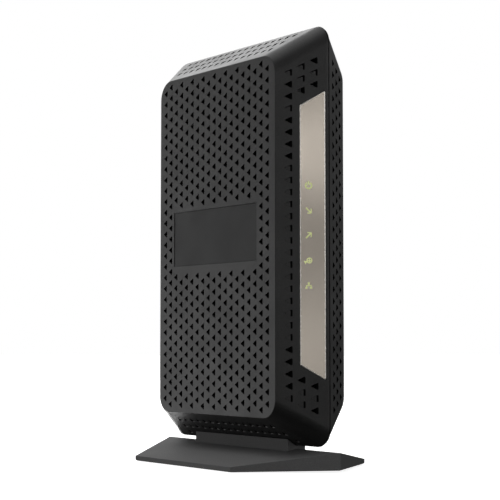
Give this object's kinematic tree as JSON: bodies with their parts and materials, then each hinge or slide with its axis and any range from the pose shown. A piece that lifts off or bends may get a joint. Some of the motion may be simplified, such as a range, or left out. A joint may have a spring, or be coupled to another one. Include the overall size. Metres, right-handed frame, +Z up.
{
  "type": "cable modem",
  "caption": "Slim upright cable modem: two vented tapered black half shells on a flat pointed stand, status panel in front, connectors behind.",
  "frame": {"origin": "on the ground, below the middle of the stand", "axes": "+Z up, the status panel faces -Y, the connectors face +Y, the badge plate faces -X"},
  "size_m": [0.0808, 0.144, 0.2099],
  "materials": {
    "shell_plastic": "fine-grained matte black ABS",
    "stand_plastic": "fine-grained matte black ABS",
    "badge_plastic": "satin black",
    "panel_finish": "satin champagne metallic",
    "symbol_green": "lit yellow-green",
    "link_amber": "translucent amber",
    "dark_plastic": "smooth black",
    "clear_guide": "clear acrylic",
    "white_plastic": "satin white",
    "board_green": "solder mask over fibreglass",
    "chip_black": "moulded epoxy",
    "aluminium": "extruded, plain",
    "nickel": "nickel plated",
    "gold": "gold plated",
    "screw_steel": "zinc plated",
    "pad_grey": "soft silicone",
    "foot_rubber": "matte rubber",
    "can_sleeve": "printed sleeve",
    "ferrite": "moulded ferrite"
  },
  "bodies": {
    "case": {"left_shell": "shell_plastic", "right_shell": "shell_plastic", "badge_plate": "badge_plastic", "status_panel": "panel_finish", "power_symbol": "symbol_green", "downstream_symbol": "symbol_green", "upstream_symbol": "symbol_green", "internet_symbol": "symbol_green", "network_symbol": "symbol_green", "light_guide": "clear_guide", "light_guide_holder": "dark_plastic", "status_light_1": "white_plastic", "status_light_2": "white_plastic", "status_light_3": "white_plastic", "status_light_4": "white_plastic", "status_light_5": "white_plastic", "stand": "stand_plastic", "rubber_foot_1": "foot_rubber", "rubber_foot_2": "foot_rubber", "rubber_foot_3": "foot_rubber", "rubber_foot_4": "foot_rubber", "stand_screw_1": "screw_steel", "stand_screw_2": "screw_steel", "main_board": "board_green", "board_screw_1": "screw_steel", "board_screw_2": "screw_steel", "board_screw_3": "screw_steel", "board_screw_4": "screw_steel", "main_processor": "chip_black", "memory_chip_1": "chip_black", "memory_chip_2": "chip_black", "flash_chip": "chip_black", "ethernet_transformer": "chip_black", "power_inductor_1": "ferrite", "power_inductor_2": "ferrite", "capacitor_1": "can_sleeve", "capacitor_2": "can_sleeve", "thermal_pad": "pad_grey", "heatsink": "aluminium", "heatsink_pin_1": "white_plastic", "heatsink_pin_2": "white_plastic", "tuner_shield_frame": "nickel", "tuner_shield_lid": "nickel", "ethernet_jack": "dark_plastic", "ethernet_contacts": "gold", "link_light_1": "symbol_green", "link_light_2": "link_amber", "coax_connector": "nickel", "coax_nut": "nickel", "coax_insulator": "white_plastic", "coax_contact": "gold", "power_jack": "dark_plastic", "power_jack_pin": "nickel", "power_switch": "dark_plastic", "reset_switch": "dark_plastic", "rear_panel": "dark_plastic"},
    "power_button": {"power_button": "stand_plastic"},
    "reset_button": {"reset_button": "white_plastic"}
  },
  "joints": [
    {"name": "power_button_press", "type": "slide", "parent": "case", "child": "power_button", "axis": [0, -1, 0], "range_m": [0, 0.0025], "stiffness_N_per_m": 600},
    {"name": "reset_button_press", "type": "slide", "parent": "case", "child": "reset_button", "axis": [0, -1, 0], "range_m": [0, 0.0005], "stiffness_N_per_m": 2000}
  ]
}
